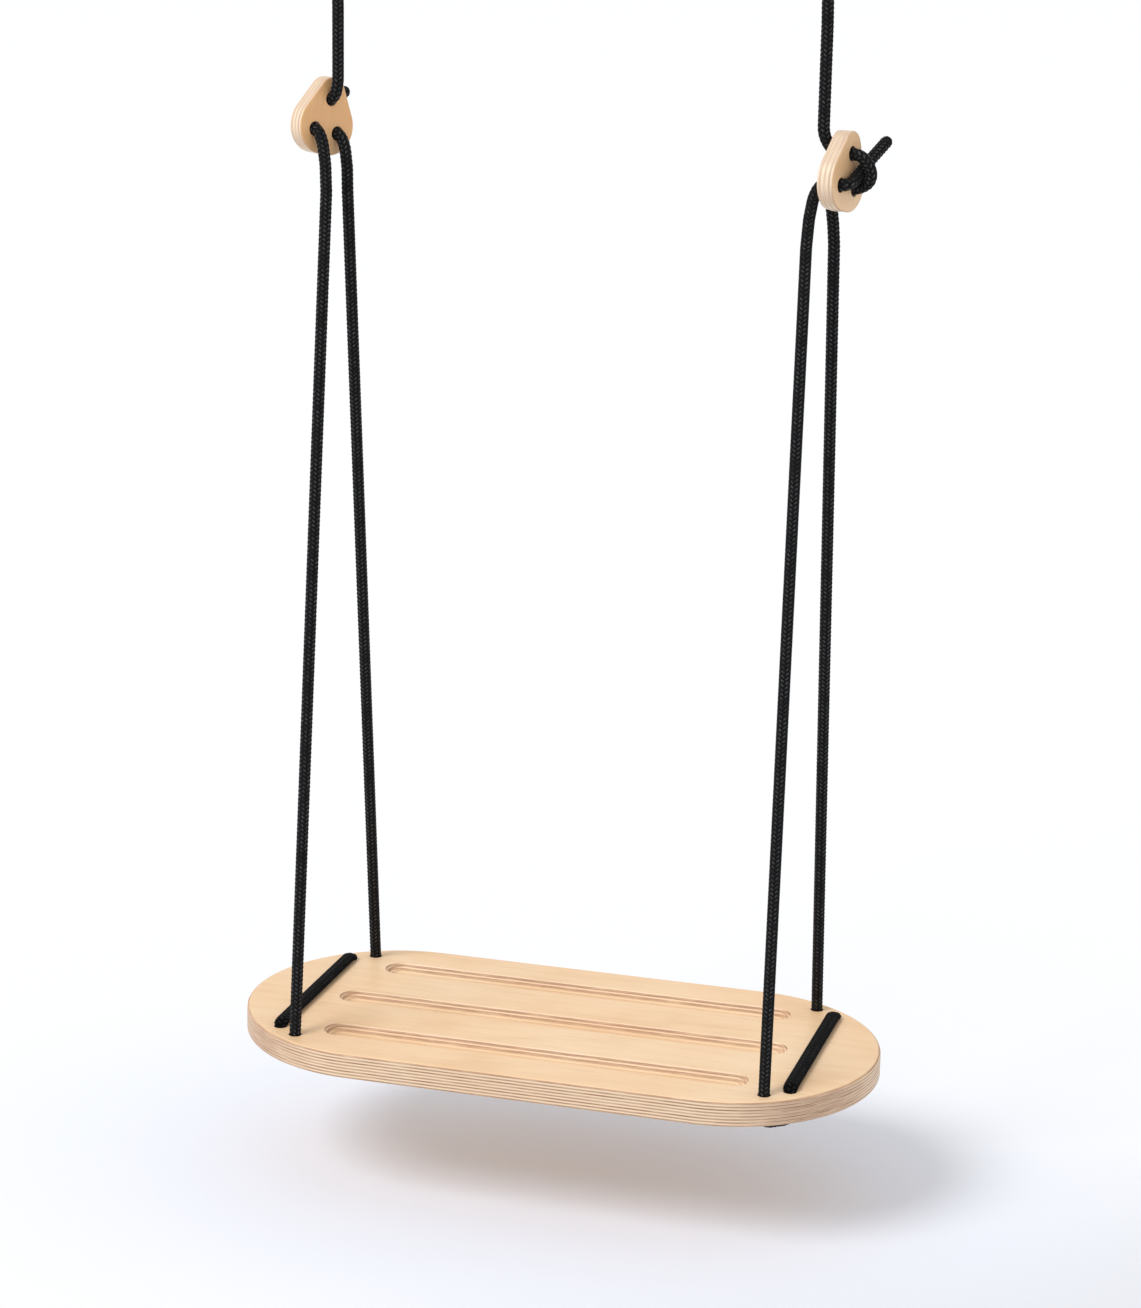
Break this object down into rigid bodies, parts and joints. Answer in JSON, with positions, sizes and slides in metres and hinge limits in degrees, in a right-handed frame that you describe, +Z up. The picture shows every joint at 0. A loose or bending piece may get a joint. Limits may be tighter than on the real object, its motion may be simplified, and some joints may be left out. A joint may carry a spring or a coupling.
{
  "type": "board swing",
  "caption": "Plywood board swing on two laced black ropes with wooden rope adjusters, snap hooks and ceiling pivots.",
  "frame": {"origin": "centre of the four ceiling holes, on the ceiling plates' top faces", "axes": "+X along the seat from the left rope to the right one, +Y to the rear, +Z up"},
  "size_m": [0.6, 0.28, 1.234],
  "materials": {
    "seat_plywood": "clear-oiled birch plywood, satin",
    "adjuster_plywood": "clear-oiled birch plywood, satin",
    "braided_rope": "black sixteen-strand braid, matte with a slight glint",
    "whipping_twine": "black waxed twine",
    "zinc_steel": "zinc-plated steel, satin",
    "bolt_steel": "zinc-plated bolt steel",
    "hook_steel": "bright nickel-plated steel",
    "thimble_steel": "galvanised steel",
    "spring_steel": "spring wire",
    "nylon": "natural nylon"
  },
  "bodies": {
    "ceiling": {"left_ceiling_plate": "zinc_steel", "left_pivot_bolt": "bolt_steel", "left_pivot_nut": "bolt_steel", "left_pivot_washers": "bolt_steel", "right_ceiling_plate": "zinc_steel", "right_pivot_bolt": "bolt_steel", "right_pivot_nut": "bolt_steel", "right_pivot_washers": "bolt_steel"},
    "sling": {"left_pivot_bush": "nylon", "left_hanging_link": "zinc_steel", "left_snap_hook": "hook_steel", "left_gate_pin": "bolt_steel", "left_gate_spring": "spring_steel", "left_thimble": "thimble_steel", "left_rope_eye": "braided_rope", "left_whipping": "whipping_twine", "left_upper_rope": "braided_rope", "right_pivot_bush": "nylon", "right_hanging_link": "zinc_steel", "right_snap_hook": "hook_steel", "right_gate_pin": "bolt_steel", "right_gate_spring": "spring_steel", "right_thimble": "thimble_steel", "right_rope_eye": "braided_rope", "right_whipping": "whipping_twine", "right_upper_rope": "braided_rope"},
    "seat": {"seat_board": "seat_plywood", "left_front_leg": "braided_rope", "left_rear_leg": "braided_rope", "left_seat_strap": "braided_rope", "right_front_leg": "braided_rope", "right_rear_leg": "braided_rope", "right_seat_strap": "braided_rope"},
    "left_adjuster_body": {"left_adjuster": "adjuster_plywood", "left_lacing": "braided_rope", "left_rope_tail": "braided_rope"},
    "right_adjuster_body": {"right_adjuster": "adjuster_plywood", "right_lacing": "braided_rope", "right_rope_tail": "braided_rope"},
    "left_gate": {"left_hook_gate": "hook_steel"},
    "right_gate": {"right_hook_gate": "hook_steel"}
  },
  "joints": [
    {"name": "swing", "type": "hinge", "parent": "ceiling", "child": "sling", "pos_m": [0, 0, -0.026], "axis": [1, 0, 0], "range_deg": [-50, 50]},
    {"name": "seat_lift", "type": "slide", "parent": "sling", "child": "seat", "axis": [0, 0, 1], "range_m": [0, 0.035], "deforming": ["left_upper_rope", "right_upper_rope"]},
    {"name": "left_adjuster_slide", "type": "slide", "parent": "seat", "child": "left_adjuster_body", "axis": [0, 0, 1], "range_m": [0, 0.035], "deforming": ["left_front_leg", "left_rear_leg"]},
    {"name": "right_adjuster_slide", "type": "slide", "parent": "seat", "child": "right_adjuster_body", "axis": [0, 0, 1], "range_m": [0, 0.035], "deforming": ["right_front_leg", "right_rear_leg"]},
    {"name": "left_gate_open", "type": "hinge", "parent": "sling", "child": "left_gate", "pos_m": [-0.205, 0, -0.12096], "axis": [0, -1, 0], "range_deg": [0, 25], "stiffness_Nm_per_rad": 0.08, "springref_deg": -34.38, "deforming": ["left_gate_spring"]},
    {"name": "right_gate_open", "type": "hinge", "parent": "sling", "child": "right_gate", "pos_m": [0.205, 0, -0.12096], "axis": [0, 1, 0], "range_deg": [0, 25], "stiffness_Nm_per_rad": 0.08, "springref_deg": -34.38, "deforming": ["right_gate_spring"]}
  ],
  "couplings": [
    {"joint": "left_adjuster_slide", "follows": "seat_lift", "ratio": 1},
    {"joint": "right_adjuster_slide", "follows": "seat_lift", "ratio": 1}
  ]
}
